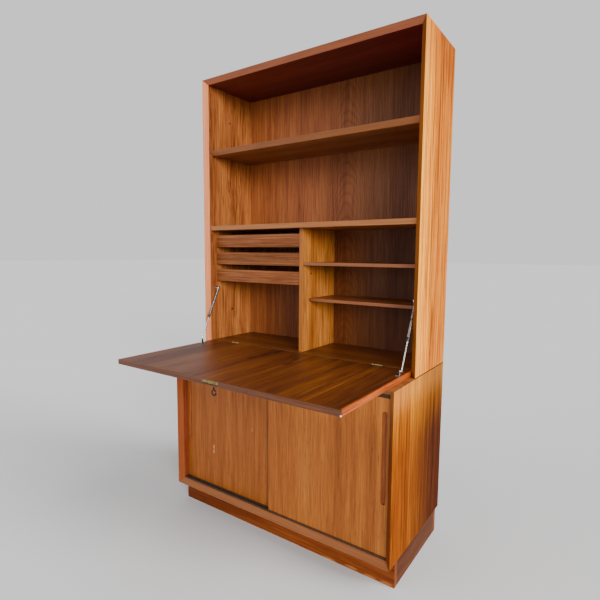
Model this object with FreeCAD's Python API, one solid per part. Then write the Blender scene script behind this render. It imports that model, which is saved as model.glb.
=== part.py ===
"""Two-part teak secretary: an upper bookcase with a drop-front desk, standing on a deeper
cabinet with two sliding doors and a recessed plinth.

Millimetres, +Z up, +X to the right of someone facing the desk, front towards -Y. The origin is
on the floor at the centre of the plinth. The flap is modelled open, resting on its two stays.
Most places are given as a distance from the wall plane, which at() turns into a Y coordinate.
"""
import FreeCAD, Part
import math
import os

os.makedirs("parts", exist_ok=True)
V = FreeCAD.Vector

# ---------------------------------------------------------------- driving dimensions
width = 1000.0                # both cases, outside
height = 1845.0               # floor to the top of the upper case
lower_top_z = 681.0           # where the upper case stands on the lower one
upper_depth = 303.0
lower_depth = 476.0

board = 19.0                  # case sides, tops and bottoms
back_t = 4.0                  # back panels
back_lap = 8.0                # rebate that holds a back panel
edge_slope = 17.0             # how far the bevelled front edges run back

plinth_h = 90.0
plinth_t = 19.0
plinth_front_setback = 51.0
plinth_rear_setback = 25.0
plinth_side_setback = 2.0

# bookcase
book_shelf_top_z = 1547.0
desk_shelf_top_z = 1218.5     # fixed shelf that roofs the desk compartment
shelf_t = 19.0
shelf_front = 284.0           # shelf front edges, from the wall
desk_shelf_front = 286.0
book_shelf_slope = 15.0       # undercut of the front edges
desk_shelf_slope = 6.0

# desk compartment
divider_t = 18.0
divider_right_x = 3.0
divider_front = 250.0
thin_t = 12.0                 # pigeonhole shelves
pigeon_upper_top_z = 1064.0
pigeon_lower_top_z = 917.0
pigeon_lower_front = 207.0

# drawers
drawer_count = 3
drawer_front_h = 53.0
drawer_pitch = 76.7
drawer_first_gap = 21.5       # hand gap under the desk shelf
drawer_front_t = 12.0
drawer_front_inset = 3.0      # drawer fronts behind the divider's edge
drawer_side_t = 10.0
drawer_side_h = 40.0
drawer_back_t = 8.0
drawer_bottom_t = 3.0
drawer_bottom_lift = 4.0
drawer_bottom_lap = 3.0
drawer_depth = 222.0
drawer_gap = 1.0              # each side
runner_h = 7.4
runner_t = 5.7
groove_play = 0.6

# drop-front flap
hinge_line = 268.4            # hinge axis, from the wall
flap_t = 18.0
flap_rear_gap = 0.4
flap_top_gap = 1.1            # under the desk shelf when closed
flap_side_gap = 1.5
lipping = 6.0

# butt hinges
hinge_x = 345.0
hinge_length = 42.0
hinge_leaf_w = 15.0
hinge_leaf_t = 1.5
knuckle_r = 3.0
knuckle_clear = 0.4
hinge_pin_r = 1.25
pin_play = 0.05
knuckle_gap = 0.3

# flap stays
stay_pivot_up = 238.0         # above the hinge axis
stay_pivot_back = 21.0        # behind the hinge axis
stay_foot_out = 86.0          # in front of the hinge axis
stay_foot_up = 13.5           # eye centre above the flap, so that the eye clears it on the way
stay_plane = 8.5              # tube centre, from the side's inner face
stay_plate_r = 9.0
stay_plate_t = 2.5
stay_boss_r = 5.0
stay_pin_r = 3.0
stay_stud_r = 2.5
stay_stud_l = 12.0
stay_head_t = 6.0
stay_head_r = 7.0
tube_r = 5.0
tube_bore_r = 2.9
tube_length = 142.0
rod_r = 2.5
rod_length = 141.0
eye_r = 3.1
side_play = 0.3

# lock, in the flap's far edge
lock_x = 5.0
lock_plate_l = 71.0
lock_plate_w = 12.0
lock_plate_t = 2.0
lock_case_l = 60.0
lock_case_t = 10.0
lock_case_depth = 30.0
lock_wall = 1.0
lock_backset = 17.0
bolt_w = 24.0
bolt_t = 5.0
bolt_l = 10.7
bolt_throw = 7.0
bolt_play = 0.3
key_r = 2.0
key_bow_r = 11.0
key_bow_drop = 27.0           # bow centre below the flap's outer face

# sliding doors
door_t = 12.0
door_face = 452.0             # outer face of the front door, from the wall
door_spacing = 16.0           # from one track to the other
door_side_gap = 1.0
door_left_end_x = 18.0
door_right_end_x = -12.0
track_play = 0.3
track_rib = 3.7
track_bottom_h = 6.0
track_bottom_groove = 3.0
track_top_h = 14.0
track_top_groove = 11.0
door_top_hold = 6.0
pull_l = 312.0
pull_w = 18.0
pull_depth = 7.0
pull_from_edge = 10.0
pull_z = 446.0

lower_shelf_top_z = 385.0
lower_shelf_front = 412.0

# shelf pins and case bolts
pin_r = 2.5
pin_in = 8.0
pin_out = 9.0
case_bolt_r = 3.0
case_bolt_head_r = 7.0
case_bolt_head_t = 3.0
case_bolt_in = 12.0
screw_r = 1.4
screw_head_r = 2.8
screw_head_t = 1.0
screw_l = 10.0

# ---------------------------------------------------------------- derived places
plinth_depth = lower_depth - plinth_front_setback - plinth_rear_setback
rear_y = plinth_depth / 2 + plinth_rear_setback
half = width / 2
inner = half - board                      # inner faces of the case sides
desk_z = lower_top_z + board              # desk floor and open flap
desk_shelf_z = desk_shelf_top_z - shelf_t
divider_left_x = divider_right_x - divider_t
flap_half = inner - flap_side_gap
flap_length = desk_shelf_z - flap_top_gap - desk_z - flap_rear_gap
flap_rear = hinge_line + flap_rear_gap
flap_front = flap_rear + flap_length


def at(from_wall):
    """Y coordinate of a plane at this distance from the wall."""
    return rear_y - from_wall


# ---------------------------------------------------------------- shapes
def box(x, d, z):
    """Block between two X values, two distances from the wall and two heights."""
    x0, x1 = sorted(x)
    d0, d1 = sorted(d)
    z0, z1 = sorted(z)
    return Part.makeBox(x1 - x0, d1 - d0, z1 - z0, V(x0, at(d1), z0))


def prism_y(points_xz, d):
    """X-Z outline pushed along Y between two distances from the wall."""
    d0, d1 = sorted(d)
    wire = Part.makePolygon([V(x, at(d1), z) for x, z in points_xz + points_xz[:1]])
    return Part.Face(wire).extrude(V(0, d1 - d0, 0))


def prism_x(points_dz, x):
    """Outline in distance from the wall and height, pushed along X."""
    x0, x1 = sorted(x)
    wire = Part.makePolygon([V(x0, at(d), z) for d, z in points_dz + points_dz[:1]])
    return Part.Face(wire).extrude(V(x1 - x0, 0, 0))


def prism_z(points_xd, z):
    """Outline in X and distance from the wall, pushed up."""
    z0, z1 = sorted(z)
    wire = Part.makePolygon([V(x, at(d), z0) for x, d in points_xd + points_xd[:1]])
    return Part.Face(wire).extrude(V(0, 0, z1 - z0))


def rod_x(radius, x, d, z):
    """Round bar along X."""
    x0, x1 = sorted(x)
    return Part.makeCylinder(radius, x1 - x0, V(x0, at(d), z), V(1, 0, 0))


def rod_y(radius, x, d, z):
    """Round bar along Y."""
    d0, d1 = sorted(d)
    return Part.makeCylinder(radius, d1 - d0, V(x, at(d1), z), V(0, 1, 0))


def rod_z(radius, x, d, z):
    """Round bar along Z."""
    z0, z1 = sorted(z)
    return Part.makeCylinder(radius, z1 - z0, V(x, at(d), z0), V(0, 0, 1))


def mirror_x(shape):
    return shape.mirror(V(0, 0, 0), V(1, 0, 0))


def save(node, *solids):
    """Writes one node; several solids stay separate in it."""
    shape = solids[0] if len(solids) == 1 else Part.makeCompound(list(solids))
    shape.exportStep("parts/" + node + ".step")


def screw_down(x, d, z, length=screw_l):
    """Countersunk screw with its head flush at height z, driven down."""
    head = rod_z(screw_head_r, x, d, (z - screw_head_t, z))
    shank = rod_z(screw_r, x, d, (z - length, z - screw_head_t))
    return head.fuse(shank)


def slotted(screw, x, d, z):
    """Cuts the driver slot into a screw head that faces up."""
    slot = box((x - screw_head_r, x + screw_head_r), (d - 0.35, d + 0.35), (z - 0.5, z))
    return screw.cut(slot)


# ---------------------------------------------------------------- cases
def bevel_cutters(depth, z):
    """Waste in front of the bevelled front edge of a case, for side, top and bottom."""
    z0, z1 = z
    reach = depth + 5.0
    run = edge_slope / board
    side = prism_z([(-half - 5, depth - run * -5), (-inner, depth - edge_slope),
                    (-inner, reach + 5), (-half - 5, reach + 5)], (z0 - 5, z1 + 5))
    top = prism_x([(depth + run * 5, z1 + 5), (depth - edge_slope, z1 - board),
                   (reach + 5, z1 - board), (reach + 5, z1 + 5)], (-half - 5, half + 5))
    bottom = prism_x([(depth + run * 5, z0 - 5), (depth - edge_slope, z0 + board),
                      (reach + 5, z0 + board), (reach + 5, z0 - 5)], (-half - 5, half + 5))
    return side, top, bottom


def back_panel(z):
    z0, z1 = z
    lap = board - back_lap
    return box((-half + lap, half - lap), (0, back_t), (z0 + lap, z1 - lap))


def case_boards(depth, z, mitred_bottom):
    """Sides, top and bottom of a case with bevelled, mitred front edges."""
    z0, z1 = z
    side_cut, top_cut, bottom_cut = bevel_cutters(depth, z)
    foot = board if mitred_bottom else 0.0
    side = prism_y([(-half, z0), (-half, z1), (-inner, z1 - board), (-inner, z0 + foot)], (0, depth))
    top = prism_y([(-half, z1), (half, z1), (inner, z1 - board), (-inner, z1 - board)], (0, depth))
    rebate = back_panel(z)
    boards = {
        "side_left": side.cut(side_cut).cut(rebate),
        "top": top.cut(top_cut).cut(rebate),
    }
    boards["side_right"] = mirror_x(boards["side_left"])
    if mitred_bottom:
        bottom = prism_y([(-half, z0), (half, z0), (inner, z0 + board), (-inner, z0 + board)],
                         (0, depth))
        boards["bottom"] = bottom.cut(bottom_cut).cut(rebate)
    else:
        boards["bottom"] = box((-inner, inner), (0, hinge_line - flap_rear_gap),
                               (z0, z0 + board)).cut(rebate)
    return boards


upper = case_boards(upper_depth, (lower_top_z, height), False)
lower = case_boards(lower_depth, (plinth_h, lower_top_z), True)
upper_back = back_panel((lower_top_z, height))
lower_back = back_panel((plinth_h, lower_top_z))

# ---------------------------------------------------------------- shelves and divider
def undercut_shelf(x, front, slope, z_top):
    return prism_x([(back_t, z_top), (front, z_top), (front - slope, z_top - shelf_t),
                    (back_t, z_top - shelf_t)], x)


desk_shelf = undercut_shelf((-inner, inner), desk_shelf_front, desk_shelf_slope, desk_shelf_top_z)
book_shelf = undercut_shelf((-inner + 0.5, inner - 0.5), shelf_front, book_shelf_slope,
                            book_shelf_top_z)
divider = box((divider_left_x, divider_right_x), (back_t, divider_front), (desk_z, desk_shelf_z))
pigeon_upper = box((divider_right_x, inner), (back_t, divider_front - 2),
                   (pigeon_upper_top_z - thin_t, pigeon_upper_top_z))
pigeon_lower = box((divider_right_x + 0.5, inner - 0.5), (back_t, pigeon_lower_front),
                   (pigeon_lower_top_z - thin_t, pigeon_lower_top_z))
corner = Part.makeCylinder(8, thin_t, V(divider_right_x + 8.5, at(pigeon_lower_front - 8),
                                        pigeon_lower_top_z - thin_t))
corner_waste = box((divider_right_x + 0.5, divider_right_x + 8.5),
                   (pigeon_lower_front - 8, pigeon_lower_front),
                   (pigeon_lower_top_z - thin_t, pigeon_lower_top_z)).cut(corner)
pigeon_lower = pigeon_lower.cut(corner_waste)
lower_shelf = box((-inner + 0.5, inner - 0.5), (back_t, lower_shelf_front),
                  (lower_shelf_top_z - shelf_t, lower_shelf_top_z))


def shelf_pins(x_left, x_right, distances, z_under):
    """Pins in a left and a right face that carry a shelf's underside."""
    z = z_under - pin_r
    pins = []
    for d in distances:
        pins.append(rod_x(pin_r, (x_left - pin_in, x_left + pin_out), d, z))
        pins.append(rod_x(pin_r, (x_right - pin_out, x_right + pin_in), d, z))
    return pins


book_pins = shelf_pins(-inner, inner, (50, 225), book_shelf_top_z - shelf_t)
pigeon_pins = shelf_pins(divider_right_x, inner, (40, 165), pigeon_lower_top_z - thin_t)
lower_pins = shelf_pins(-inner, inner, (60, 350), lower_shelf_top_z - shelf_t)

# spare pin holes left open in the left side and in the divider
spare_holes = [rod_x(pin_r, (-inner - pin_in, -inner), 152, book_shelf_top_z + 148),
               rod_x(pin_r, (-inner - pin_in, -inner), 146, desk_z + 132)]
divider_spare_hole = rod_x(pin_r, (divider_right_x - pin_in, divider_right_x), 190,
                           pigeon_upper_top_z - 47)

# ---------------------------------------------------------------- drawers
drawer_left_x = -inner + drawer_gap
drawer_right_x = divider_left_x - drawer_gap
drawer_face = divider_front - drawer_front_inset
runners = []
drawers = []
for index in range(drawer_count):
    top_z = desk_shelf_z - drawer_first_gap - index * drawer_pitch
    base_z = top_z - drawer_front_h
    rear = drawer_face - drawer_depth
    front = box((drawer_left_x, drawer_right_x), (drawer_face - drawer_front_t, drawer_face),
                (base_z, top_z))
    side_d = (rear, drawer_face - drawer_front_t)
    side_z = (base_z + 1, base_z + 1 + drawer_side_h)
    left = box((drawer_left_x, drawer_left_x + drawer_side_t), side_d, side_z)
    right = box((drawer_right_x - drawer_side_t, drawer_right_x), side_d, side_z)
    back = box((drawer_left_x + drawer_side_t, drawer_right_x - drawer_side_t),
               (rear, rear + drawer_back_t), side_z)
    bottom_z = side_z[0] + drawer_bottom_lift
    bottom = box((drawer_left_x + drawer_side_t - drawer_bottom_lap,
                  drawer_right_x - drawer_side_t + drawer_bottom_lap),
                 (rear, drawer_face - drawer_front_t + drawer_bottom_lap),
                 (bottom_z, bottom_z + drawer_bottom_t))
    runner_top = side_z[0] + 0.62 * drawer_side_h
    runner_z = (runner_top - runner_h, runner_top)
    groove_z = (runner_z[0] - groove_play, runner_top)
    reach = runner_t + side_play
    for x_face, sign in ((-inner, 1), (divider_left_x, -1)):
        runners.append(box((x_face, x_face + sign * runner_t),
                           (rear, drawer_face - drawer_front_t - 2), runner_z))
    left = left.cut(box((-inner, -inner + reach), side_d, groove_z)).cut(bottom)
    right = right.cut(box((divider_left_x - reach, divider_left_x), side_d, groove_z)).cut(bottom)
    drawers.append({"front": [front.cut(bottom)], "sides": [left, right],
                    "back": [back.cut(bottom)], "bottom": [bottom]})

# ---------------------------------------------------------------- flap with its hinges
flap_z = (desk_z - flap_t, desk_z)
flap_panel = box((-flap_half + lipping, flap_half - lipping), (flap_rear, flap_front - lipping),
                 flap_z)
flap_edge_front = box((-flap_half, flap_half), (flap_front - lipping, flap_front), flap_z)
flap_edge_left = box((-flap_half, -flap_half + lipping), (flap_rear, flap_front - lipping), flap_z)

knuckles = 3
knuckle_l = hinge_length / knuckles
case_leaves, flap_leaves, hinge_pins = [], [], []
case_screws, flap_screws = [], []
board_cuts, flap_cuts = [], []
for centre in (-hinge_x, hinge_x):
    x0 = centre - hinge_length / 2
    x1 = centre + hinge_length / 2
    leaf_z = (desk_z - hinge_leaf_t, desk_z)
    barrel_hole = rod_x(hinge_pin_r + pin_play, (x0, x1), hinge_line, desk_z)
    case_leaf = box((x0, x1), (hinge_line - hinge_leaf_w, hinge_line), leaf_z)
    flap_leaf = box((x0, x1), (hinge_line, hinge_line + hinge_leaf_w), leaf_z)
    board_cuts.append(case_leaf)
    flap_cuts.append(flap_leaf)
    swing = rod_x(knuckle_r + knuckle_clear, (x0 - 1, x1 + 1), hinge_line, desk_z)
    board_cuts.append(swing)
    flap_cuts.append(swing)
    for k in range(knuckles):
        span = (x0 + k * knuckle_l + knuckle_gap / 2, x0 + (k + 1) * knuckle_l - knuckle_gap / 2)
        barrel = rod_x(knuckle_r, span, hinge_line, desk_z)
        wide = (span[0] - knuckle_gap, span[1] + knuckle_gap)
        room = rod_x(knuckle_r + knuckle_clear, wide, hinge_line, desk_z)
        if k % 2 == 0:
            case_leaf = case_leaf.fuse(barrel)
            flap_leaf = flap_leaf.cut(room)
        else:
            flap_leaf = flap_leaf.fuse(barrel)
            case_leaf = case_leaf.cut(room)
    pin = rod_x(hinge_pin_r, (x0, x1), hinge_line, desk_z)
    case_leaf = case_leaf.cut(barrel_hole)
    flap_leaf = flap_leaf.cut(barrel_hole)
    for k in range(knuckles):
        x = x0 + (k + 0.5) * knuckle_l
        case_screws.append((x, hinge_line - 0.68 * hinge_leaf_w, desk_z))
        flap_screws.append((x, hinge_line + 0.68 * hinge_leaf_w, desk_z))
    case_leaves.append(case_leaf)
    flap_leaves.append(flap_leaf)
    hinge_pins.append(pin)

# ---------------------------------------------------------------- stays, left one first
pivot = (hinge_line - stay_pivot_back, desk_z + stay_pivot_up)
foot = (hinge_line + stay_foot_out, desk_z + stay_foot_up)
stay_run = foot[0] - pivot[0]
stay_fall = pivot[1] - foot[1]
stay_length = math.hypot(stay_run, stay_fall)
along = V(0, -stay_run / stay_length, -stay_fall / stay_length)
stay_x = -inner + stay_plane
pivot_point = V(stay_x, at(pivot[0]), pivot[1])
foot_point = V(stay_x, at(foot[0]), foot[1])
head_x = (stay_x - stay_head_t / 2, stay_x + stay_head_t / 2)

stay_plate = rod_x(stay_plate_r, (-inner, -inner + stay_plate_t), *pivot)
stay_plate = stay_plate.fuse(rod_x(stay_stud_r, (-inner - stay_stud_l, -inner), *pivot))
stay_plate = stay_plate.fuse(rod_x(stay_boss_r, (-inner + stay_plate_t, head_x[0] - side_play), *pivot))
stay_plate = stay_plate.fuse(rod_x(stay_pin_r, (head_x[0] - side_play, head_x[1] + side_play), *pivot))
stay_plate = stay_plate.fuse(rod_x(stay_boss_r, (head_x[1] + side_play, head_x[1] + side_play + 1.5),
                                   *pivot))
stud_hole = rod_x(stay_stud_r, (-inner - stay_stud_l, -inner), *pivot)


def along_stay(distance):
    """Point on the stay's centre line this far below its pivot."""
    return pivot_point + along * distance


tube_start = 6.0
collar_l = 7.0
stay_tube = rod_x(stay_head_r, head_x, *pivot)
stay_tube = stay_tube.fuse(Part.makeCylinder(tube_r, tube_length - tube_start,
                                             along_stay(tube_start), along))
stay_tube = stay_tube.fuse(Part.makeCylinder(tube_r + 0.8, collar_l,
                                             along_stay(tube_length - collar_l), along))
stay_tube = stay_tube.cut(rod_x(stay_pin_r + pin_play, (head_x[0] - 1, head_x[1] + 1), *pivot))
stay_tube = stay_tube.cut(Part.makeCylinder(tube_bore_r, tube_length, along_stay(stay_head_r + 1),
                                            along))

rivet_t = 1.2
stay_rod = Part.makeCylinder(rod_r, rod_length, foot_point, along * -1)
stay_rod = stay_rod.fuse(rod_x(eye_r, head_x, *foot))
stay_rod = stay_rod.fuse(rod_x(eye_r - 1, (head_x[0] - rivet_t, head_x[0]), *foot))

# the eye runs beside the ear, on the side away from the desk's middle
ear_t = 2.5
ear_r = 5.0
ear_x = (head_x[1] + side_play, head_x[1] + side_play + ear_t)
foot_base_t = 1.5
foot_base_w = 13.0
foot_half = 13.0
foot_base = box((ear_x[0], ear_x[0] + foot_base_w), (foot[0] - foot_half, foot[0] + foot_half),
                (desk_z, desk_z + foot_base_t))
ear = rod_x(ear_r, ear_x, *foot)
ear = ear.fuse(box(ear_x, (foot[0] - ear_r, foot[0] + ear_r), (desk_z, foot[1])))
stay_foot = foot_base.fuse(ear)
foot_screw_x = ear_x[0] + 0.6 * foot_base_w
for sign in (-1, 1):
    for d in (foot[0] - 8.5, foot[0] + 8.5):
        flap_screws.append((sign * foot_screw_x, d, desk_z + foot_base_t))

# ---------------------------------------------------------------- lock, bolt and key
lock_z = desk_z - flap_t / 2 + 1.5
plate_x = (lock_x - lock_plate_l / 2, lock_x + lock_plate_l / 2)
lock_plate = box(plate_x, (flap_front - lock_plate_t, flap_front),
                 (lock_z - lock_plate_w / 2, lock_z + lock_plate_w / 2))
case_x = (lock_x - lock_case_l / 2, lock_x + lock_case_l / 2)
case_d = (flap_front - lock_case_depth, flap_front - lock_plate_t)
case_z = (lock_z - lock_case_t / 2, lock_z + lock_case_t / 2)
lock_pocket = box(case_x, case_d, case_z)
cavity = box((case_x[0] + lock_wall, case_x[1] - lock_wall), (case_d[0] + lock_wall, case_d[1]),
             (case_z[0] + lock_wall, case_z[1] - lock_wall))
lock_case = lock_pocket.cut(cavity)
key_d = flap_front - lock_backset
key_bit_r = 5.5
keyhole_z = (flap_z[0], case_z[0] + lock_wall)
keyhole = rod_z(key_r + side_play, lock_x, key_d, keyhole_z)
keyhole = keyhole.fuse(box((lock_x - 1.4, lock_x + 1.4), (key_d, key_d - key_bit_r - 0.6), keyhole_z))
lock_case = lock_case.cut(keyhole)
bolt_x = (lock_x - bolt_w / 2, lock_x + bolt_w / 2)
bolt_z = (lock_z - bolt_t / 2, lock_z + bolt_t / 2)
bolt_nose = flap_front - 0.2
bolt = box(bolt_x, (bolt_nose - bolt_l, bolt_nose), bolt_z)
tail_t = 1.2
tail_z = (case_z[1] - lock_wall - tail_t - 0.2, case_z[1] - lock_wall - 0.2)
bolt_tail_d = bolt_nose - bolt_l
bolt = bolt.fuse(box((lock_x - 6, lock_x + 6), (case_d[0] + 2, bolt_tail_d + tail_t), tail_z))
bolt = bolt.fuse(box((lock_x - 6, lock_x + 6), (bolt_tail_d, bolt_tail_d + tail_t),
                     (bolt_z[1] - 0.5, tail_z[1])))
bolt_slot_x = (bolt_x[0] - bolt_play, bolt_x[1] + bolt_play)
bolt_slot_z = (bolt_z[0] - bolt_play, bolt_z[1] + bolt_play)
lock_plate = lock_plate.cut(box(bolt_slot_x, (flap_front - lock_plate_t, flap_front), bolt_slot_z))

bit_z = (case_z[0] + lock_wall + 0.5, tail_z[0] - 1.2)
key_tip = tail_z[0] - 0.5
bow_z = flap_z[0] - key_bow_drop
bow_t = 2.6
key = rod_z(key_r, lock_x, key_d, (bow_z + key_bow_r - 2, key_tip))
key = key.fuse(box((lock_x - 1.0, lock_x + 1.0), (key_d, key_d - key_bit_r), bit_z))
ring = rod_y(key_bow_r, lock_x, (key_d - bow_t / 2, key_d + bow_t / 2), bow_z)
ring = ring.cut(rod_y(key_bow_r - 3.6, lock_x, (key_d - bow_t, key_d + bow_t), bow_z))
key = key.fuse(ring)
key = key.fuse(rod_z(key_r + 1.2, lock_x, key_d, (bow_z + key_bow_r, bow_z + key_bow_r + 3.0)))

flap_panel = flap_panel.cut(lock_pocket).cut(keyhole)
flap_edge_front = flap_edge_front.cut(lock_pocket)
flap_edge_front = flap_edge_front.cut(box(plate_x, (flap_front - lock_plate_t, flap_front),
                                          (lock_z - lock_plate_w / 2, lock_z + lock_plate_w / 2)))

# the bolt rises into the desk shelf when the closed flap is locked
strike_d = hinge_line + (desk_z - lock_z)
strike_t = 1.0
mortise_depth = bolt_throw + 3.0
strike_half_d = bolt_t / 2 + 1.2
strike = box((lock_x - bolt_w / 2 - 8, lock_x + bolt_w / 2 + 8),
             (strike_d - 14, strike_d + strike_half_d), (desk_shelf_z, desk_shelf_z + strike_t))
mortise = box((bolt_x[0] - 0.6, bolt_x[1] + 0.6), (strike_d - bolt_t / 2 - 0.6, strike_d + bolt_t / 2 + 0.6),
              (desk_shelf_z, desk_shelf_z + mortise_depth))
desk_shelf = desk_shelf.cut(strike).cut(mortise)
strike = strike.cut(mortise)

# ---------------------------------------------------------------- sliding doors and tracks
door_bottom_z = plinth_h + board + track_bottom_h - track_bottom_groove
door_top_z = lower_top_z - board - track_top_h + door_top_hold
front_track = (door_face - door_t, door_face)
rear_track = (front_track[0] - door_spacing, front_track[1] - door_spacing)
track_d = (rear_track[0] - track_play - track_rib, front_track[1] + track_play + track_rib)


def track(z_floor, z_open, groove):
    """Strip with two grooves that open towards z_open."""
    strip = box((-inner, inner), track_d, (z_floor, z_open))
    deep = z_open + math.copysign(groove, z_floor - z_open)
    for d0, d1 in (front_track, rear_track):
        strip = strip.cut(box((-inner, inner), (d0 - track_play, d1 + track_play), (deep, z_open)))
    return strip


track_bottom = track(plinth_h + board, plinth_h + board + track_bottom_h, track_bottom_groove)
track_top = track(lower_top_z - board, lower_top_z - board - track_top_h, track_top_groove)


def finger_pull(x, face):
    """Upright slot with round ends, sunk into a door's face."""
    r = pull_w / 2
    d = (face - pull_depth, face)
    z0 = pull_z - pull_l / 2 + r
    z1 = pull_z + pull_l / 2 - r
    slot = box((x - r, x + r), d, (z0, z1))
    return slot.fuse(rod_y(r, x, d, z0)).fuse(rod_y(r, x, d, z1))


door_outer_x = inner - door_side_gap
pull_x = door_outer_x - pull_from_edge - pull_w / 2
door_left = box((-door_outer_x, door_left_end_x), rear_track, (door_bottom_z, door_top_z))
door_left = door_left.cut(finger_pull(-pull_x, rear_track[1]))
door_right = box((door_right_end_x, door_outer_x), front_track, (door_bottom_z, door_top_z))
door_right = door_right.cut(finger_pull(pull_x, front_track[1]))

# ---------------------------------------------------------------- plinth
plinth_x = half - plinth_side_setback
plinth_d = (plinth_rear_setback, plinth_rear_setback + plinth_depth)
plinth_front = box((-plinth_x, plinth_x), (plinth_d[1] - plinth_t, plinth_d[1]), (0, plinth_h))
plinth_rear = box((-plinth_x, plinth_x), (plinth_d[0], plinth_d[0] + plinth_t), (0, plinth_h))
plinth_inside = (plinth_d[0] + plinth_t, plinth_d[1] - plinth_t)
plinth_left = box((-plinth_x, -plinth_x + plinth_t), plinth_inside, (0, plinth_h))
plinth_rail = box((-plinth_t / 2, plinth_t / 2), plinth_inside, (0, plinth_h))

# ---------------------------------------------------------------- bolts between the two cases
case_bolts = []
ceiling = lower_top_z - board
for x in (-0.8 * inner, 0.8 * inner):
    for d in (60.0, 220.0):
        bolt_head = rod_z(case_bolt_head_r, x, d, (ceiling - case_bolt_head_t, ceiling))
        shank = rod_z(case_bolt_r, x, d, (ceiling, lower_top_z + case_bolt_in))
        hex_hole = rod_z(2.5, x, d, (ceiling - case_bolt_head_t, ceiling - case_bolt_head_t + 2))
        case_bolts.append(bolt_head.fuse(shank).cut(hex_hole))

# ---------------------------------------------------------------- holes for pins, studs, bolts, screws
upper["bottom"] = upper["bottom"].cut(Part.makeCompound(board_cuts))
flap_panel = flap_panel.cut(Part.makeCompound(flap_cuts))
case_screw_solids = [slotted(screw_down(*place), *place) for place in case_screws]
flap_screw_solids = [slotted(screw_down(*place), *place) for place in flap_screws]
case_screw_room = Part.makeCompound([screw_down(*place) for place in case_screws])
flap_screw_room = Part.makeCompound([screw_down(*place) for place in flap_screws])
upper["bottom"] = upper["bottom"].cut(case_screw_room).cut(Part.makeCompound(case_bolts))
lower["top"] = lower["top"].cut(Part.makeCompound(case_bolts))
case_leaves = [leaf.cut(case_screw_room) for leaf in case_leaves]
flap_leaves = [leaf.cut(flap_screw_room) for leaf in flap_leaves]
flap_panel = flap_panel.cut(flap_screw_room)
stay_foot_left = stay_foot.cut(flap_screw_room)
stay_foot_right = mirror_x(stay_foot_left)

side_pins = Part.makeCompound(book_pins + pigeon_pins)
upper["side_left"] = upper["side_left"].cut(side_pins).cut(stud_hole)
upper["side_left"] = upper["side_left"].cut(Part.makeCompound(spare_holes))
upper["side_right"] = upper["side_right"].cut(side_pins).cut(mirror_x(stud_hole))
divider = divider.cut(side_pins).cut(divider_spare_hole)
lower_pin_room = Part.makeCompound(lower_pins)
lower["side_left"] = lower["side_left"].cut(lower_pin_room)
lower["side_right"] = lower["side_right"].cut(lower_pin_room)

# ---------------------------------------------------------------- nodes
for name, shape in upper.items():
    save("upper_" + name, shape)
save("upper_back", upper_back)
save("desk_shelf", desk_shelf)
save("book_shelf", book_shelf)
save("divider", divider)
save("pigeon_shelf_upper", pigeon_upper)
save("pigeon_shelf_lower", pigeon_lower)
save("shelf_pins", *(book_pins + pigeon_pins + lower_pins))
save("drawer_runners", *runners)
for index, pieces in enumerate(drawers, start=1):
    for name, solids in pieces.items():
        save("drawer_%d_%s" % (index, name), *solids)

save("flap_panel", flap_panel)
save("flap_edge_front", flap_edge_front)
save("flap_edge_left", flap_edge_left)
save("flap_edge_right", mirror_x(flap_edge_left))
save("hinge_leaves_case", *case_leaves)
save("hinge_leaves_flap", *flap_leaves)
save("hinge_pins", *hinge_pins)
save("case_screws", *case_screw_solids)
save("flap_screws", *flap_screw_solids)

save("lock_case", lock_case)
save("lock_plate", lock_plate)
save("lock_bolt", bolt)
save("lock_strike", strike)
save("key", key)

save("stay_plates", stay_plate, mirror_x(stay_plate))
save("stay_tube_left", stay_tube)
save("stay_rod_left", stay_rod)
save("stay_foot_left", stay_foot_left)
save("stay_tube_right", mirror_x(stay_tube))
save("stay_rod_right", mirror_x(stay_rod))
save("stay_foot_right", stay_foot_right)

for name, shape in lower.items():
    save("lower_" + name, shape)
save("lower_back", lower_back)
save("lower_shelf", lower_shelf)
save("door_track_top", track_top)
save("door_track_bottom", track_bottom)
save("door_left", door_left)
save("door_right", door_right)
save("case_bolts", *case_bolts)

save("plinth_front", plinth_front)
save("plinth_rear", plinth_rear)
save("plinth_sides", plinth_left, mirror_x(plinth_left))
save("plinth_rail", plinth_rail)
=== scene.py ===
"""Teak secretary with an open bookcase, a drop-front desk and a sliding-door cabinet below.

Metres, +Z up, +X to the right of someone facing the desk, the room side towards -Y.
"""
import math
import bpy
import numpy as np
from mathutils import Matrix, Vector


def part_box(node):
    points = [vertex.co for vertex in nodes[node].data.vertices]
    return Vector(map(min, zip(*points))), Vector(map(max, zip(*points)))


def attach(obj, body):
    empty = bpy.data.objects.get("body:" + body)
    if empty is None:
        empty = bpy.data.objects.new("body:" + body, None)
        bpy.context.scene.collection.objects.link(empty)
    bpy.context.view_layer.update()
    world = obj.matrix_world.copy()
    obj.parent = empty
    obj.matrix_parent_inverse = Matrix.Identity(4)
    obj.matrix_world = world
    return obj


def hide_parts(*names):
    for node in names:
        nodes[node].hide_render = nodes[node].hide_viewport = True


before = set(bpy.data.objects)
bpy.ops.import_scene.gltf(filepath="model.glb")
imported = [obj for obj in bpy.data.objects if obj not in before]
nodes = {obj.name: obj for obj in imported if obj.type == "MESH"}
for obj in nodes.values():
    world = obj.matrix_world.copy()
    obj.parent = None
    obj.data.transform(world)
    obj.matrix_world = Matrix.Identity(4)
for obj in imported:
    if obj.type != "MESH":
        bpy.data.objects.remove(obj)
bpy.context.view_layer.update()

# ------------------------------------------------------------------ plinth
# A recessed base of four teak-veneered boards and a middle rail, glued and pinned together.
# It stands on the floor and carries both cases, and its front board is paler in patches along the foot.


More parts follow.
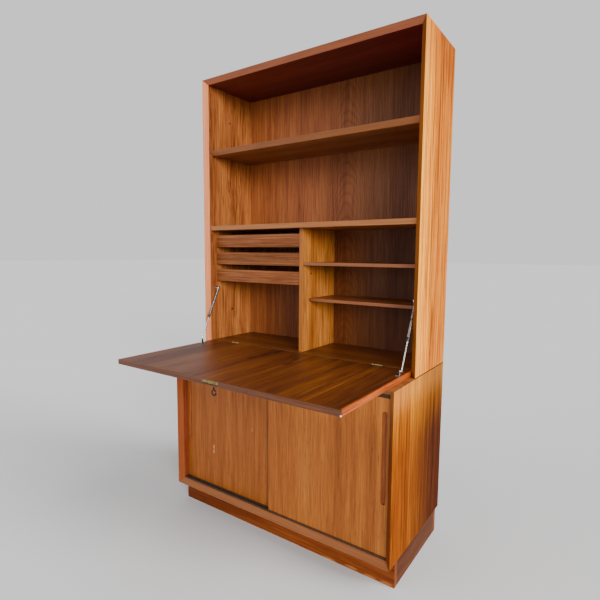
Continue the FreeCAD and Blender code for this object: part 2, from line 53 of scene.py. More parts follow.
def linear(code):
    """The linear RGBA of an sRGB hex colour: c/12.92 below 0.04045, else ((c+0.055)/1.055)^2.4."""
    rgb = [int(code[i:i + 2], 16) / 255 for i in (1, 3, 5)]
    return [c / 12.92 if c <= 0.04045 else ((c + 0.055) / 1.055) ** 2.4 for c in rgb] + [1.0]


def add(tree, kind, settings=None, links=None):
    """Adds a node of that kind: settings are its properties, links its socket values or sources."""
    node = tree.nodes.new("ShaderNode" + kind)
    for key, value in (settings or {}).items():
        setattr(node, key, value)
    for key, value in (links or {}).items():
        if isinstance(value, bpy.types.NodeSocket):
            tree.links.new(value, node.inputs[key])
        else:
            node.inputs[key].default_value = value
    return node


def teak(name, along, dark, mid, light, seed, lip=None, ring=0.009, gloss=0.40, wander=0.05,
         ribbon=15.0, shine=0.38, streak=0.2):
    """Oiled teak, sliced into veneer or sawn solid, with its grain running along one axis.

    Oil soaks in and leaves a satin skin, so the eye gets soft highlights, dark pores and a tone
    that drifts along the board. The tone is 0.38 of the ribbon bands, 0.12 of the growth rings,
    0.36 of the fibre streaks and 0.14 of the leaf it was cut from, and runs from dark through mid
    to light. Rings are the fraction of (across + wander * warp) / ring, where ring is their
    spacing, so a larger wander bends them into cathedrals, and the mineral lines sway by the same
    wander * warp. Ribbon is the number of bands in a metre, streak how dark the mineral lines
    are, lip the colour of the solid strip on a front edge, gloss about the roughness of the
    whole and shine its specular level.
    """
    material = bpy.data.materials.new(name)
    material.use_nodes = True
    tree = material.node_tree
    shader = tree.nodes["Principled BSDF"]
    place = add(tree, "TexCoord")
    moved = add(tree, "Mapping", {}, {"Vector": place.outputs["Object"],
                                      "Location": (0.37 * seed, 0.61 * seed, 0.23 * seed)})
    # a noise is drawn out along the grain by making the coordinate along it count for less
    slow, slower, slowest = ([share if axis == along else 1 for axis in "XYZ"]
                             for share in (0.25, 0.03, 0.012))
    drawn = add(tree, "VectorMath", {"operation": "MULTIPLY"}, {0: moved.outputs[0], 1: slower})
    # ribbon bands 30 to 70 mm wide, from the interlocked grain
    bands = add(tree, "TexNoise", {}, {"Vector": drawn.outputs[0], "Scale": ribbon, "Detail": 4.0,
                                       "Roughness": 0.6})
    # growth rings: the across coordinate bent by a slow wander, which closes into cathedrals
    slowly = add(tree, "VectorMath", {"operation": "MULTIPLY"}, {0: moved.outputs[0], 1: slow})
    warp = add(tree, "TexNoise", {}, {"Vector": slowly.outputs[0], "Scale": 4.2, "Detail": 1.0})
    weigh = {"X": (0, 1, 0.83), "Y": (0.83, 0, 1), "Z": (1, 0.83, 0)}[along]
    across = add(tree, "VectorMath", {"operation": "DOT_PRODUCT"},
                 {0: moved.outputs[0], 1: weigh})
    bend = add(tree, "Math", {"operation": "MULTIPLY_ADD"},
               {0: warp.outputs[0], 1: wander, 2: across.outputs["Value"]})
    turns = add(tree, "Math", {"operation": "DIVIDE"}, {0: bend.outputs[0], 1: ring})
    saw = add(tree, "Math", {"operation": "FRACT"}, {0: turns.outputs[0]})
    rings = add(tree, "MapRange", {"interpolation_type": "SMOOTHSTEP"},
                {0: saw.outputs[0], 1: 1.0, 2: 0.35, 3: 0.0, 4: 1.0})
    # fibre streaks, really a few tenths of a millimetre wide and drawn about 4 mm to show
    fibre = add(tree, "TexNoise", {}, {"Vector": drawn.outputs[0], "Scale": 240.0, "Detail": 2.5})
    fibres = add(tree, "MapRange", {}, {0: fibre.outputs[0], 1: 0.28, 2: 0.72, 3: 0.0, 4: 1.0})
    # veneer leaves about 160 mm wide, laid side by side
    leaf = add(tree, "Math", {"operation": "DIVIDE"}, {0: across.outputs["Value"], 1: 0.16})
    leaf_no = add(tree, "Math", {"operation": "FLOOR"}, {0: leaf.outputs[0]})
    leaves = add(tree, "TexWhiteNoise", {"noise_dimensions": "1D"}, {"W": leaf_no.outputs[0]})
    tone = None
    for source, low, high, share in ((bands.outputs[0], 0.3, 0.7, 0.38),
                                     (rings.outputs[0], 0.0, 1.0, 0.12),
                                     (fibres.outputs[0], 0.0, 1.0, 0.36),
                                     (leaves.outputs["Value"], 0.0, 1.0, 0.14)):
        part = add(tree, "MapRange", {}, {0: source, 1: low, 2: high, 3: 0.0, 4: share})
        if tone is None:
            tone = part
        else:
            tone = add(tree, "Math", {"operation": "ADD"},
                       {0: tone.outputs[0], 1: part.outputs[0]})
    ramp = add(tree, "ValToRGB", {}, {0: tone.outputs[0]})
    ramp.color_ramp.elements[0].position = 0.12
    ramp.color_ramp.elements[0].color = linear(dark)
    ramp.color_ramp.elements[1].position = 0.88
    ramp.color_ramp.elements[1].color = linear(light)
    ramp.color_ramp.elements.new(0.5).color = linear(mid)
    colour = ramp.outputs[0]
    # pores: short dark flecks, really 0.3 mm across and drawn as 1.2 mm
    pore = add(tree, "TexNoise", {}, {"Vector": drawn.outputs[0], "Scale": 800.0, "Detail": 1.0})
    pores = add(tree, "MapRange", {}, {0: pore.outputs[0], 1: 0.36, 2: 0.30, 3: 0.0, 4: 0.55})
    pored = add(tree, "Mix", {"data_type": "RGBA", "blend_type": "MULTIPLY"},
                {0: pores.outputs[0], 6: colour, 7: linear("#6b3a1c")})
    # mineral lines: long dark stripes 2 to 5 mm wide that sway sideways with the rings
    sway = add(tree, "Math", {"operation": "MULTIPLY"}, {0: warp.outputs[0], 1: wander})
    sideways = [0 if axis == along else 1 for axis in "XYZ"]
    shifted = add(tree, "VectorMath", {"operation": "SCALE"},
                  {0: sideways, "Scale": sway.outputs[0]})
    longest = add(tree, "VectorMath", {"operation": "MULTIPLY"},
                  {0: moved.outputs[0], 1: slowest})
    swayed = add(tree, "VectorMath", {"operation": "ADD"},
                 {0: longest.outputs[0], 1: shifted.outputs[0]})
    line = add(tree, "TexNoise", {}, {"Vector": swayed.outputs[0], "Scale": 190.0, "Detail": 2.0})
    lines = add(tree, "MapRange", {"interpolation_type": "SMOOTHSTEP"},
                {0: line.outputs[0], 1: 0.53, 2: 0.61, 3: 0.0, 4: streak})
    lined = add(tree, "Mix", {"data_type": "RGBA", "blend_type": "MULTIPLY"},
                {0: lines.outputs[0], 6: pored.outputs[2], 7: linear("#70401f")})
    colour = lined.outputs[2]
    if lip:
        # the solid strip along the front edge is redder than the veneer
        split = add(tree, "SeparateXYZ", {}, {0: place.outputs["Normal"]})
        front = add(tree, "MapRange", {}, {0: split.outputs["Y"], 1: -0.25, 2: -0.45,
                                           3: 0.0, 4: 1.0})
        depth = add(tree, "MapRange", {}, {0: tone.outputs[0], 1: 0.0, 2: 1.0, 3: 0.55, 4: 1.4})
        strip = add(tree, "VectorMath", {"operation": "SCALE"},
                    {0: linear(lip)[:3], "Scale": depth.outputs[0]})
        lipped = add(tree, "Mix", {"data_type": "RGBA"},
                     {0: front.outputs[0], 6: colour, 7: strip.outputs[0]})
        colour = lipped.outputs[2]
    # sharp edges are rubbed back to paler wood, in patches
    soft = add(tree, "Bevel", {"samples": 4}, {"Radius": 0.0016})
    true = add(tree, "NewGeometry")
    facing = add(tree, "VectorMath", {"operation": "DOT_PRODUCT"},
                 {0: soft.outputs[0], 1: true.outputs["Normal"]})
    rubbed = add(tree, "TexNoise", {}, {"Vector": moved.outputs[0], "Scale": 38.0, "Detail": 3.0})
    patch = add(tree, "MapRange", {}, {0: rubbed.outputs[0], 1: 0.42, 2: 0.62, 3: 0.1, 4: 0.8})
    edge = add(tree, "MapRange", {}, {0: facing.outputs["Value"], 1: 0.985, 2: 0.90,
                                      3: 0.0, 4: 1.0})
    worn = add(tree, "Math", {"operation": "MULTIPLY"}, {0: patch.outputs[0], 1: edge.outputs[0]})
    rubbed_back = add(tree, "Mix", {"data_type": "RGBA"},
                      {0: worn.outputs[0], 6: colour, 7: linear(light)})
    tree.links.new(rubbed_back.outputs[2], shader.inputs["Base Color"])
    rough = add(tree, "MapRange", {}, {0: tone.outputs[0], 1: 0.1, 2: 0.9,
                                       3: gloss + 0.10, 4: gloss - 0.04})
    tree.links.new(rough.outputs[0], shader.inputs["Roughness"])
    height = add(tree, "Math", {"operation": "MULTIPLY_ADD"},
                 {0: pores.outputs[0], 1: -1.2, 2: tone.outputs[0]})
    bump = add(tree, "Bump", {}, {"Strength": 0.35, "Distance": 0.0004,
                                  "Height": height.outputs[0], "Normal": soft.outputs[0]})
    tree.links.new(bump.outputs[0], shader.inputs["Normal"])
    shader.inputs["IOR"].default_value = 1.5
    shader.inputs["Specular IOR Level"].default_value = shine
    return material


def coat(material, *names):
    """Gives a material to the CAD parts with those names."""
    for name in names:
        mesh = nodes[name].data
        mesh.materials.clear()
        mesh.materials.append(material)


def mark(material, strength, colour, blend="MIX"):
    """Lays a colour over a material's own, as strongly as the strength socket says."""
    tree = material.node_tree
    base = tree.nodes["Principled BSDF"].inputs["Base Color"]
    laid = add(tree, "Mix", {"data_type": "RGBA", "blend_type": blend},
               {0: strength, 6: base.links[0].from_socket, 7: linear(colour)})
    tree.links.new(laid.outputs[2], base)


def fade(material, colour, *ramps, blend="MULTIPLY", most=1.0):
    """Lays in a colour by smooth ramps along object axes, each (axis, none here, full here).

    Its strength is the product of the ramps, times most.
    """
    tree = material.node_tree
    place = add(tree, "SeparateXYZ", {}, {0: add(tree, "TexCoord").outputs["Object"]})
    strength = most
    for axis, start, end in ramps:
        rise = add(tree, "MapRange", {"interpolation_type": "SMOOTHSTEP"},
                   {0: place.outputs[axis], 1: start, 2: end, 3: 0.0, 4: 1.0})
        product = add(tree, "Math", {"operation": "MULTIPLY"}, {0: strength, 1: rise.outputs[0]})
        strength = product.outputs[0]
    mark(material, strength, colour, blend)


def spot(material, colour, most, radius, *places, stretch=(1, 1, 1)):
    """Round or oval spots: full inside half the radius, none outside it, uneven at the rim."""
    tree = material.node_tree
    here = add(tree, "TexCoord").outputs["Object"]
    torn = add(tree, "TexNoise", {}, {"Vector": here, "Scale": 0.9 / radius, "Detail": 3.0})
    for place in places:
        away = add(tree, "VectorMath", {"operation": "SUBTRACT"}, {0: here, 1: place})
        drawn = add(tree, "VectorMath", {"operation": "DIVIDE"}, {0: away.outputs[0], 1: stretch})
        length = add(tree, "VectorMath", {"operation": "LENGTH"}, {0: drawn.outputs[0]})
        rough = add(tree, "Math", {"operation": "MULTIPLY_ADD"},
                    {0: torn.outputs[0], 1: 0.8 * radius, 2: length.outputs["Value"]})
        inside = add(tree, "MapRange", {"interpolation_type": "SMOOTHSTEP"},
                     {0: rough.outputs[0], 1: 1.4 * radius, 2: 0.9 * radius, 3: 0.0, 4: most})
        mark(material, inside.outputs[0], colour)


plinth_long = teak("teak_plinth_long", "X", "#421a06", "#6a300e", "#88481e", 1, gloss=0.45,
                   shine=0.08)
coat(plinth_long, "plinth_front", "plinth_rear")
# darker towards the left end, which stands in for shade
fade(plinth_long, "#c4b0a0", ("X", 0.15, -0.45))
# pale patches along the foot of the front board
spot(plinth_long, "#a86a34", 0.55, 0.012, (0.47, -0.2, 0.006), (0.41, -0.2, 0.004),
     (0.34, -0.2, 0.008), (0.25, -0.2, 0.003), stretch=(2.6, 1, 0.5))
coat(teak("teak_plinth_short", "Y", "#2c1002", "#482004", "#5e2e08", 2, gloss=0.45, shine=0.08),
     "plinth_sides", "plinth_rail")

# ------------------------------------------------------------------ lower case
# Four veneered boards with the sides standing outside the top and bottom. The front edges are
# bevelled inwards and lipped with redder solid teak.
# its tones are far paler than the left side's: partly the wood's own colour, partly painted light from
# the lamps on the right
lower_right = teak("teak_lower_side_right", "Z", "#5c2a00", "#b06000", "#e09000", 3, "#8a4f2c",
                   ring=0.006, gloss=0.50, wander=0.02, ribbon=30.0, shine=0.02, streak=0.6)
# painted light and shade: warmer and paler at the top, where the light falls, and browner towards the
# wall and the floor, where shade falls
fade(lower_right, "#ffac58", ("Z", 0.56, 0.66), blend="MIX", most=0.2)
fade(lower_right, "#c6b09c", ("Z", 0.64, 0.42))
fade(lower_right, "#c8ccd0", ("Y", -0.20, 0.08))
fade(lower_right, "#b4a074", ("Y", -0.20, 0.18), ("Z", 0.66, 0.36))
# the dark line where the two cases meet
fade(lower_right, "#1c0c04", ("Z", 0.6775, 0.6805))
coat(lower_right, "lower_side_right")
lower_left = teak("teak_lower_side_left", "Z", "#4a2008", "#7a3e16", "#9a5a2a", 4, "#7a3c1c",
                  gloss=0.42, shine=0.05)
# redder and darker everywhere but on the outer face: painted shade
fade(lower_left, "#dfbcfc", ("X", -0.4995, -0.4960), ("Y", -0.235, -0.231))
coat(lower_left, "lower_side_left")
coat(teak("teak_lower_boards", "X", "#5d2c0e", "#8b5127", "#aa7143", 5, "#84502e", gloss=0.42,
          shine=0.1),
     "lower_top", "lower_bottom")
coat(teak("teak_lower_shelf", "X", "#5d2c0e", "#884c22", "#a46737", 6), "lower_shelf")

# ------------------------------------------------------------------ upper case
# The bookcase half: sides, top and bottom like the lower case but shallower, with the same
# inward bevel and lipping round the front.
# its tones are far paler than the left side's: partly the wood's own colour, partly painted light from
# the lamps on the right
upper_right = teak("teak_upper_side_right", "Z", "#7a3a06", "#f6921e", "#ffbe44", 7, "#864a1e",
                   ring=0.006, gloss=0.50, wander=0.02, ribbon=30.0, shine=0.02, streak=0.7)
# browner towards the wall and cooler at the top, which stands in for shade, with a painted highlight
# along the front arris and the dark line where the two cases meet
fade(upper_right, "#cebab4", ("Y", -0.04, 0.10))
fade(upper_right, "#dcd0dc", ("Z", 1.60, 1.80))
fade(upper_right, "#ffbe50", ("Y", -0.040, -0.046), ("X", 0.4975, 0.4995), blend="MIX", most=0.12)
fade(upper_right, "#1c0c04", ("Z", 0.6840, 0.6815))
coat(upper_right, "upper_side_right")
upper_left = teak("teak_upper_side_left", "Z", "#3e1a06", "#9a562a", "#cc8440", 8, "#cf7c50",
                  gloss=0.42, wander=0.13, ribbon=18.0, shine=0.12, streak=0.55)
# two spare holes, with painted shade in and round them
spot(upper_left, "#1a0c06", 1.0, 0.0065, (-0.481, 0.073, 1.695), (-0.481, 0.079, 0.832))
coat(upper_left, "upper_side_left")
upper_top = teak("teak_upper_top", "X", "#4a2008", "#7a3e16", "#9a5a2a", 9, "#8a4a2a")
# redder and darker below, as it is seen in the shade of the case
fade(upper_top, "#bc70c4", ("Z", 1.8440, 1.8400), ("Y", -0.0625, -0.0600))
coat(upper_top, "upper_top")
coat(teak("teak_desk_floor", "X", "#3b1c04", "#64320b", "#864a15", 10), "upper_bottom")

# ------------------------------------------------------------------ back panels
# Thin veneered boards let into rebates and pinned. Their leaves are matched upright, with a
# flat-cut cathedral right of the middle of the upper one.


def cathedral(material, middle, half, colour, most):
    """Nested arches of flat-cut grain, laid over a material as dark as most at their lines.

    A line runs wherever z + 26 (x - middle)^2 + 0.09 noise is a whole number of 45 mm steps, and
    the lines fade out between 0.4 half and half from the middle.
    """
    tree = material.node_tree
    place = add(tree, "TexCoord").outputs["Object"]
    part = add(tree, "SeparateXYZ", {}, {0: place})
    aside = add(tree, "Math", {"operation": "SUBTRACT"}, {0: part.outputs["X"], 1: middle})
    square = add(tree, "Math", {"operation": "MULTIPLY"},
                 {0: aside.outputs[0], 1: aside.outputs[0]})
    arch = add(tree, "Math", {"operation": "MULTIPLY_ADD"},
               {0: square.outputs[0], 1: 26.0, 2: part.outputs["Z"]})
    noise = add(tree, "TexNoise", {}, {"Vector": place, "Scale": 9.0, "Detail": 3.0})
    wavy = add(tree, "Math", {"operation": "MULTIPLY_ADD"},
               {0: noise.outputs[0], 1: 0.09, 2: arch.outputs[0]})
    step = add(tree, "Math", {"operation": "PINGPONG"}, {0: wavy.outputs[0], 1: 0.0225})
    line = add(tree, "MapRange", {"interpolation_type": "SMOOTHSTEP"},
               {0: step.outputs[0], 1: 0.013, 2: 0.002, 3: 0.0, 4: most})
    away = add(tree, "Math", {"operation": "ABSOLUTE"}, {0: aside.outputs[0]})
    near = add(tree, "MapRange", {"interpolation_type": "SMOOTHSTEP"},
               {0: away.outputs[0], 1: half, 2: 0.4 * half, 3: 0.0, 4: 1.0})
    strength = add(tree, "Math", {"operation": "MULTIPLY"},
                   {0: line.outputs[0], 1: near.outputs[0]})
    mark(material, strength.outputs[0], colour, "MULTIPLY")


back_upper = teak("teak_back_upper", "Z", "#64301c", "#904f26", "#ac6a38", 11, ring=0.010,
                  gloss=0.5, wander=0.12, shine=0.2, streak=0.06)
cathedral(back_upper, 0.06, 0.16, "#b09080", 0.3)
# darker to the right and behind the desk, which stands in for the shade of the case
fade(back_upper, "#acacac", ("X", -0.40, 0.46))
fade(back_upper, "#ececec", ("Z", 1.22, 1.19))
coat(back_upper, "upper_back")
coat(teak("teak_back_lower", "Z", "#401f0a", "#703d19", "#91582a", 12, ring=0.010, gloss=0.5,
          wander=0.12, shine=0.3),
     "lower_back")

# ------------------------------------------------------------------ shelves and divider
# The book shelf and the desk shelf have undercut front edges. The divider stands on the desk
# floor, and two thin pigeonhole shelves rest on pins beside it.
coat(teak("teak_book_shelf", "X", "#401c08", "#6e3a16", "#945a30", 13, "#7e4a26"), "book_shelf")
coat(teak("teak_desk_shelf", "X", "#4d240e", "#7d4319", "#9d6035", 13.5, "#925a30"), "desk_shelf")
divider = teak("teak_divider", "Z", "#6a3208", "#b06726", "#d28c40", 14, "#94561c", gloss=0.42,
               wander=0.15, ribbon=18.0, shine=0.2, streak=0.6)
# a spare hole, with painted shade in and round it
spot(divider, "#1a0c06", 1.0, 0.0065, (0.003, 0.035, 1.017))
coat(divider, "divider")
coat(teak("teak_pigeon_shelves", "X", "#4d240e", "#7d4319", "#9d6035", 15, "#7e4620"),
     "pigeon_shelf_upper", "pigeon_shelf_lower")

# ------------------------------------------------------------------ drawers
# Three small drawers hang one under the other on side runners. The fronts are oiled teak, each
# cut from its own leaf. The boxes are planed beech, pale and plain beside the teak.
for number, dark, mid, light in ((1, "#42200c", "#744020", "#98603a"),
                                 (2, "#462410", "#784624", "#98623e"),
                                 (3, "#441f0e", "#703d1d", "#925a34")):
    front = teak(f"teak_drawer_front_{number}", "X", dark, mid, light, 16 + 0.37 * number,
                 ring=0.007, gloss=0.42, shine=0.1)
    coat(front, f"drawer_{number}_front")
coat(teak("beech_drawer_boxes", "Y", "#8f6943", "#a5835b", "#b79973", 17),
     "drawer_1_sides", "drawer_2_sides", "drawer_3_sides",
     "drawer_1_back", "drawer_2_back", "drawer_3_back")
coat(teak("drawer_bottoms", "X", "#694527", "#88603e", "#9d7551", 18),
     "drawer_1_bottom", "drawer_2_bottom", "drawer_3_bottom")
coat(teak("teak_runners", "Y", "#40210c", "#67391a", "#7f5127", 19), "drawer_runners")

# ------------------------------------------------------------------ flap
# The writing flap is a veneered board edged with solid teak on three sides, let down on two
# hinges. Years of use have left it darker than the case.
flap_top = teak("teak_flap_top", "Y", "#3c1b0b", "#7d4116", "#ab6722", 20, ring=0.006, gloss=0.38,
                wander=0.06, ribbon=22.0, shine=0.3, streak=0.35)
# the writing side, darkened by hands, with two dark stains and four pale streaks
fade(flap_top, "#bcb4b0", ("Z", 0.6860, 0.6985))
spot(flap_top, "#180803", 0.75, 0.024, (-0.099, -0.220, 0.70), (-0.088, -0.150, 0.70),
     (-0.077, -0.080, 0.70), stretch=(0.45, 2.0, 1))
spot(flap_top, "#180803", 0.7, 0.020, (0.073, -0.220, 0.70), (0.056, -0.140, 0.70),
     stretch=(0.45, 2.0, 1))
spot(flap_top, "#a86628", 0.3, 0.010, (0.318, -0.420, 0.70), (0.332, -0.250, 0.70),
     (0.360, -0.380, 0.70), (0.118, -0.300, 0.70), stretch=(0.3, 10.0, 1))
# the hairline of pale wood along the hinged edge
fade(flap_top, "#c09468", ("Y", -0.0460, -0.0448), blend="MIX", most=0.7)
coat(flap_top, "flap_panel")
flap_lip = teak("teak_flap_edge_long", "X", "#341505", "#53280d", "#6c3c1a", 21)
# a white chip on the right corner, and a dark plug to the right of the lock
spot(flap_lip, "#e6ddd2", 1.0, 0.0045, (0.4790, -0.5415, 0.6835))
spot(flap_lip, "#1c0a04", 0.9, 0.0032, (0.1565, -0.5418, 0.6895))
coat(flap_lip, "flap_edge_front")
coat(teak("teak_flap_edge_short", "Y", "#642402", "#a04406", "#c05f10", 22, gloss=0.45,
          shine=0.2),
     "flap_edge_left", "flap_edge_right")

# ------------------------------------------------------------------ doors
# Two sliding doors of veneered board with the grain upright, the right one in front. Each has a
# long round-ended finger pull sunk near its outer edge, its lining painted darker than the door as
# shade in the recess.
door_left = teak("teak_door_left", "Z", "#763c10", "#9a561c", "#b26e2a", 23, ring=0.006,
                 gloss=0.42, wander=0.04, ribbon=30.0, shine=0.2, streak=0.1)
# browner below the flap, which stands in for shade
fade(door_left, "#d8d0cc", ("Z", 0.66, 0.50))
# scratches, pale where the oil is gone
spot(door_left, "#d8b088", 0.8, 0.0022, (-0.3192, -0.211, 0.282), (-0.3200, -0.211, 0.262),
     stretch=(1, 1, 5))
spot(door_left, "#c89a6c", 0.5, 0.0016, (-0.1072, -0.211, 0.4047), stretch=(1, 1, 7))
door_right = teak("teak_door_right", "Z", "#824412", "#a85f20", "#c27a30", 24, ring=0.006,
                  gloss=0.42, ribbon=30.0, shine=0.2, streak=0.1)
# browner lower down, which stands in for shade as on the left door
fade(door_right, "#d6d0cc", ("Z", 0.66, 0.48))
coat(door_left, "door_left")
coat(door_right, "door_right")
# darker and redder than the doors: painted shade in the recess
pull_wood_shaded = teak("teak_finger_pulls", "Z", "#5e2a0e", "#88451c", "#a8652c", 25, gloss=0.45,
                 shine=0.2)


def skin(name, rings, material, body, hoop=False):
    """A closed piece from rings of points, each ring closed on itself and joined to the next.

    rings is an array (rings, points, 3). The first and last rings are joined to each other in a
    hoop, and otherwise closed with a flat face. The whole is turned outwards if its volume, a
    sixth of the sum of triple products, is negative.
    """
    count, size, _ = rings.shape
    here = np.arange(count * size).reshape(count, size)
    beside = np.roll(here, -1, axis=1)
    after, after_beside = np.roll(here, -1, axis=0), np.roll(beside, -1, axis=0)
    quads = np.stack([here, beside, after_beside, after], axis=-1)
    quads = (quads if hoop else quads[:-1]).reshape(-1, 4)
    points = rings.reshape(-1, 3)
    middle = points - points.mean(axis=0)
    a, b, c, d = (middle[quads[:, k]] for k in range(4))
    volume = (np.cross(a, b) * c).sum() + (np.cross(a, c) * d).sum()
    faces = quads.tolist()
    if not hoop:
        faces += [here[0][::-1].tolist(), here[-1].tolist()]
    if volume < 0:
        faces = [face[::-1] for face in faces]
    mesh = bpy.data.meshes.new(name)
    mesh.from_pydata(points.tolist(), [], faces)
    mesh.shade_smooth()
    mesh.set_sharp_from_angle(angle=math.radians(40))
    mesh.materials.append(material)
    piece = bpy.data.objects.new(name, mesh)
    bpy.context.scene.collection.objects.link(piece)
    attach(piece, body)
    return piece


def outline(half_x, half_z, corner, count):
    """Points of a round-cornered rectangle: a circle of the corner's radius, its quarters moved out."""
    turn = (np.arange(count) + 0.5) * 2 * np.pi / count
    x, z = np.cos(turn), np.sin(turn)
    return np.stack([np.sign(x) * (half_x - corner) + corner * x,
                     np.sign(z) * (half_z - corner) + corner * z], axis=-1)


def pull_lining(name, door, side):
    """A tray of wall 0.9 mm in the door's recess; each ring is the pull's outline, inset and sunk.

    steps gives each ring's inset and depth in millimetres: from the underside up the outer wall,
    over the lip and down to the floor.
    """
    half_wide, half_high, corner = 0.009, 0.156, 0.00895
    middle_x, middle_z = side * 0.461, 0.446
    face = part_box(door)[0][1]
    steps = ((1.2, 6.9), (0.12, 6.8), (0.12, 0.1), (0.3, 0.0), (0.8, 0.15), (1.0, 1.0), (1.3, 5.0),
             (2.4, 6.1), (4.0, 6.4))
    rings = []
    for inset, sunk in steps:
        edge = outline(half_wide - inset / 1000, half_high - inset / 1000, corner - inset / 1000,
                       48)
        rings.append(np.stack([edge[:, 0] + middle_x, np.full(48, face + sunk / 1000),
                               edge[:, 1] + middle_z], axis=-1))
    skin(name, np.array(rings), pull_wood_shaded, door)


pull_lining("pull_lining_left", "door_left", -1)
pull_lining("pull_lining_right", "door_right", 1)

# ------------------------------------------------------------------ metal fittings
# Stamped hinge leaves and turned screws, pins and lock parts of plain brass, screwed into the
# boards. Years of handling have dulled the brass, so it is brown in patches and bright in others.


def metal(name, bright, dull, rough_low, rough_high, patch):
    """Bare or plated metal as a new material, drifting between bright and dull in patches.

    The film of tarnish is noise with patches of that many metres, and the rougher the duller.
    """
    material = bpy.data.materials.new(name)
    material.use_nodes = True
    tree = material.node_tree
    shader = tree.nodes["Principled BSDF"]
    place = add(tree, "TexCoord")
    cloud = add(tree, "TexNoise", {}, {"Vector": place.outputs["Object"], "Scale": 1 / patch,
                                       "Detail": 4.0, "Roughness": 0.6})
    film = add(tree, "MapRange", {}, {0: cloud.outputs[0], 1: 0.35, 2: 0.68, 3: 0.0, 4: 1.0})
    colour = add(tree, "Mix", {"data_type": "RGBA"},
                 {0: film.outputs[0], 6: linear(bright), 7: linear(dull)})
    rough = add(tree, "MapRange", {}, {0: film.outputs[0], 1: 0.0, 2: 1.0,
                                       3: rough_low, 4: rough_high})
    tree.links.new(colour.outputs[2], shader.inputs["Base Color"])
    tree.links.new(rough.outputs[0], shader.inputs["Roughness"])
    shader.inputs["Metallic"].default_value = 1.0
    return material


def turned(start, end, profile, count=32):
    """Rings round the line from start towards end; the profile's pairs are (distance, radius).

    A point is start + distance * line + radius * (cos(turn) * side + sin(turn) * other).
    """
    start = np.array(start)
    line = np.array(end) - start
    line /= np.linalg.norm(line)
    side = np.cross(line, (0.31, 0.53, 0.79))
    side /= np.linalg.norm(side)
    other = np.cross(line, side)
    turn = np.arange(count) * 2 * np.pi / count
    spoke = np.cos(turn)[:, None] * side + np.sin(turn)[:, None] * other
    along, radius = np.array(profile).T
    return start + along[:, None, None] * line + radius[:, None, None] * spoke


brass = metal("brass_aged", "#b09668", "#6a5636", 0.32, 0.55, 0.004)
coat(brass, "shelf_pins", "hinge_leaves_case", "hinge_leaves_flap", "hinge_pins", "case_screws",
     "flap_screws", "lock_strike", "lock_bolt")
# the lock plate is rolled brass, greener than the rest, with painted shade along its lower edge
plate_brass = metal("brass_lock_plate", "#a08c58", "#5c5030", 0.34, 0.6, 0.006)
fade(plate_brass, "#3a2c1c", ("Z", 0.6895, 0.6880))
coat(plate_brass, "lock_plate")

# ------------------------------------------------------------------ key
# A plain cast key of darkened brass: a ring bow with a turned collar and shank brazed to it. Its
# bit is out of sight in the lock and isn't made again here. The brass is almost black with age
# and still bright where fingers rub it.
key_metal = metal("brass_key_dark", "#4c4238", "#0c0806", 0.16, 0.45, 0.004)
key_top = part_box("key")[1][2]
key_x, key_y, bow_z = 0.005, -0.5248, 0.655
# the bow: a ring 16.8 mm across at the middle of its wire, which is 5.6 mm wide and 4.2 mm thick
bend = np.arange(48) * 2 * np.pi / 48
around = np.arange(14) * 2 * np.pi / 14
ring_r = 0.0084 + 0.0028 * np.cos(around)
bow = np.stack([key_x + np.cos(bend)[:, None] * ring_r,
                np.broadcast_to(key_y + 0.0021 * np.sin(around), (bend.size, around.size)),
                bow_z + np.sin(bend)[:, None] * ring_r], axis=-1)
key_bow = skin("key_bow", bow, key_metal, "key", hoop=True)
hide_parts("key")
# the shank: a collar of two beads over the bow, then plain up into the lock
collar_z = bow_z + 0.0098
shank = turned((key_x, key_y, collar_z), (key_x, key_y, 1.0), (
    (0.0, 0.0008), (0.0, 0.0020), (0.0008, 0.0031), (0.0018, 0.0031), (0.0022, 0.0023),
    (0.0028, 0.0023), (0.0032, 0.0030), (0.0040, 0.0030), (0.0046, 0.0020),
    (key_top - collar_z - 0.0004, 0.0020), (key_top - collar_z, 0.0016)))
skin("key_shank", shank, key_metal, "key")

# ------------------------------------------------------------------ flap stays
# Two telescopic stays of chromed steel: a plate with a pivot on each side, a tube with a rolled
# head and a crimped mouth, a rod that slides in it, and a foot screwed to the flap.
# Polished chrome plate mirrors the room in hard bright streaks and greys where it has pitted.
chrome = metal("chrome_stays", "#e2e2e0", "#8e8e8a", 0.14, 0.34, 0.006)
coat(chrome, "stay_plates", "stay_rod_left", "stay_rod_right", "stay_foot_left", "stay_foot_right")
# The drawn tubes are darker and duller than the rods: painted shade, standing in for the dim
# surroundings they mirror.
tube_metal = metal("stay_tubes_painted_shade", "#98928c", "#3e3834", 0.22, 0.42, 0.012)
coat(tube_metal, "stay_tube_left", "stay_tube_right")
# The pressed caps are satin plate, and the crimped mouths oil-blacked steel with no mirror left.
cap_metal = metal("chrome_stay_caps", "#f0f0ee", "#b8b8b4", 0.34, 0.5, 0.003)
mouth_dark = metal("steel_blacked", "#4a4644", "#242220", 0.4, 0.6, 0.003)
stay_x = 0.4725
